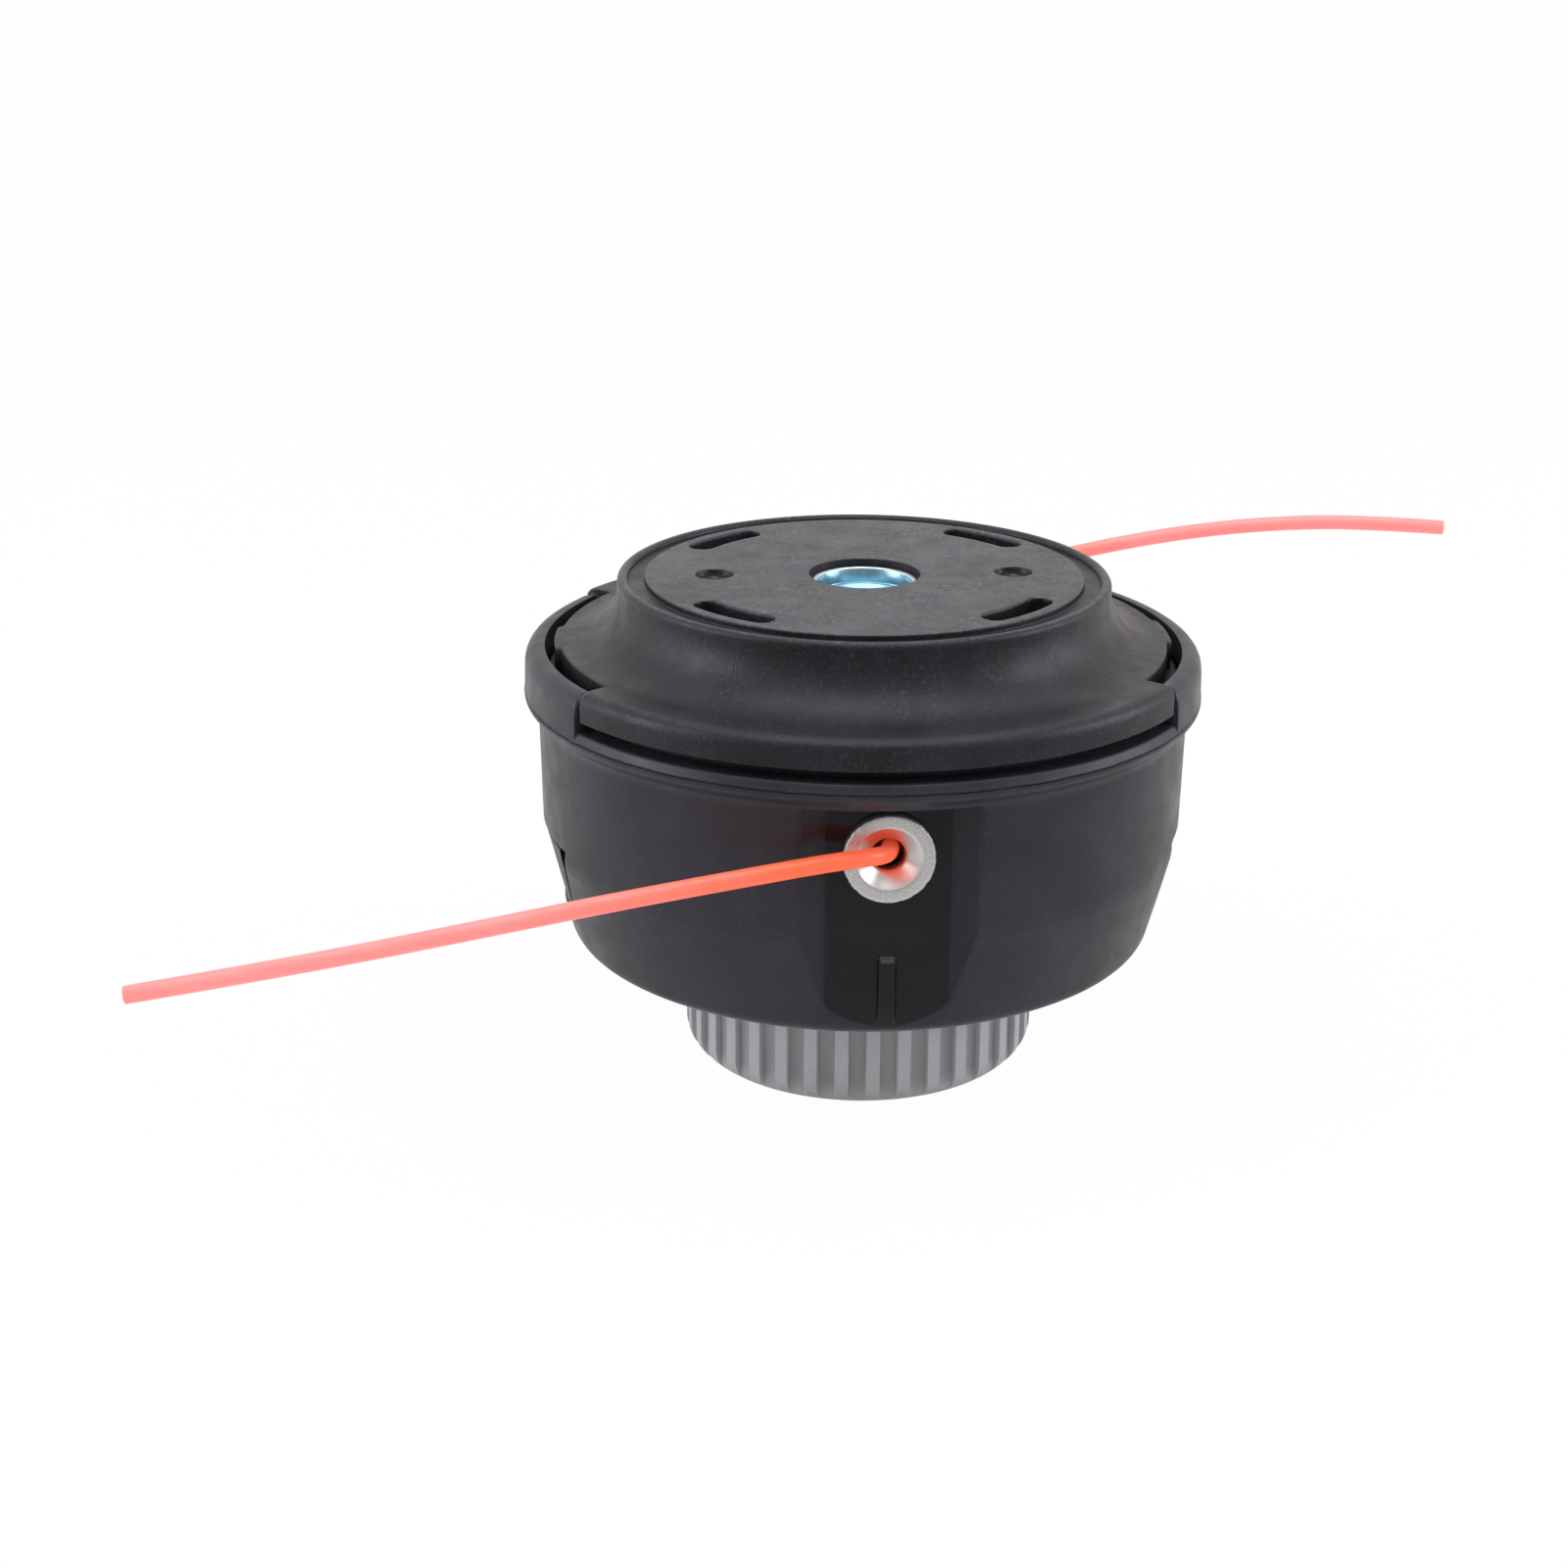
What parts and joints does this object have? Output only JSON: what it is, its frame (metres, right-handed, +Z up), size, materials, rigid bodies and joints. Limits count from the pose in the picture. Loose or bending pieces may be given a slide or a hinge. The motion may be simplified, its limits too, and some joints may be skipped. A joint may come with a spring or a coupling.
{
  "type": "line trimmer head",
  "caption": "Bump-feed line trimmer head: black clip-together housing with a threaded steel insert, sprung line spool, aluminium line eyelets, ribbed grey bump knob and two nylon line ends.",
  "frame": {"origin": "middle of the bump knob's flat underside", "axes": "+Z up the turning axis and out of the drive thread; the line eyelets face -Y and +Y, the cup latches face -X and +X"},
  "size_m": [0.2264, 0.1298, 0.0815],
  "materials": {
    "housing_black": "fine grained black glass-filled nylon",
    "cup_black": "smooth satin black nylon",
    "spool_black": "satin black nylon",
    "knob_grey": "satin mid-grey nylon",
    "zinc_steel": "blue zinc plate",
    "spring_steel": "drawn wire and pressed sheet",
    "eyelet_aluminium": "matte flange, polished mouth",
    "nylon_line": "translucent orange-red nylon"
  },
  "bodies": {
    "housing": {"upper_housing": "housing_black", "thread_insert": "zinc_steel", "lower_cup": "cup_black", "eyelet_front": "eyelet_aluminium", "eyelet_rear": "eyelet_aluminium", "bump_spring": "spring_steel", "line_front": "nylon_line", "line_rear": "nylon_line"},
    "seat": {"spring_seat": "spring_steel"},
    "spool": {"spool": "spool_black", "wound_line_lower": "nylon_line", "wound_line_upper": "nylon_line", "bump_knob": "knob_grey"}
  },
  "joints": [
    {"name": "bump_press", "type": "slide", "parent": "housing", "child": "seat", "axis": [0, 0, 1], "range_m": [0, 0.006], "stiffness_N_per_m": 1500, "springref_m": -0.01, "deforming": ["bump_spring"]},
    {"name": "spool_turn", "type": "hinge", "parent": "seat", "child": "spool", "pos_m": [0, 0, 0], "axis": [0, 0, 1], "continuous": true}
  ]
}
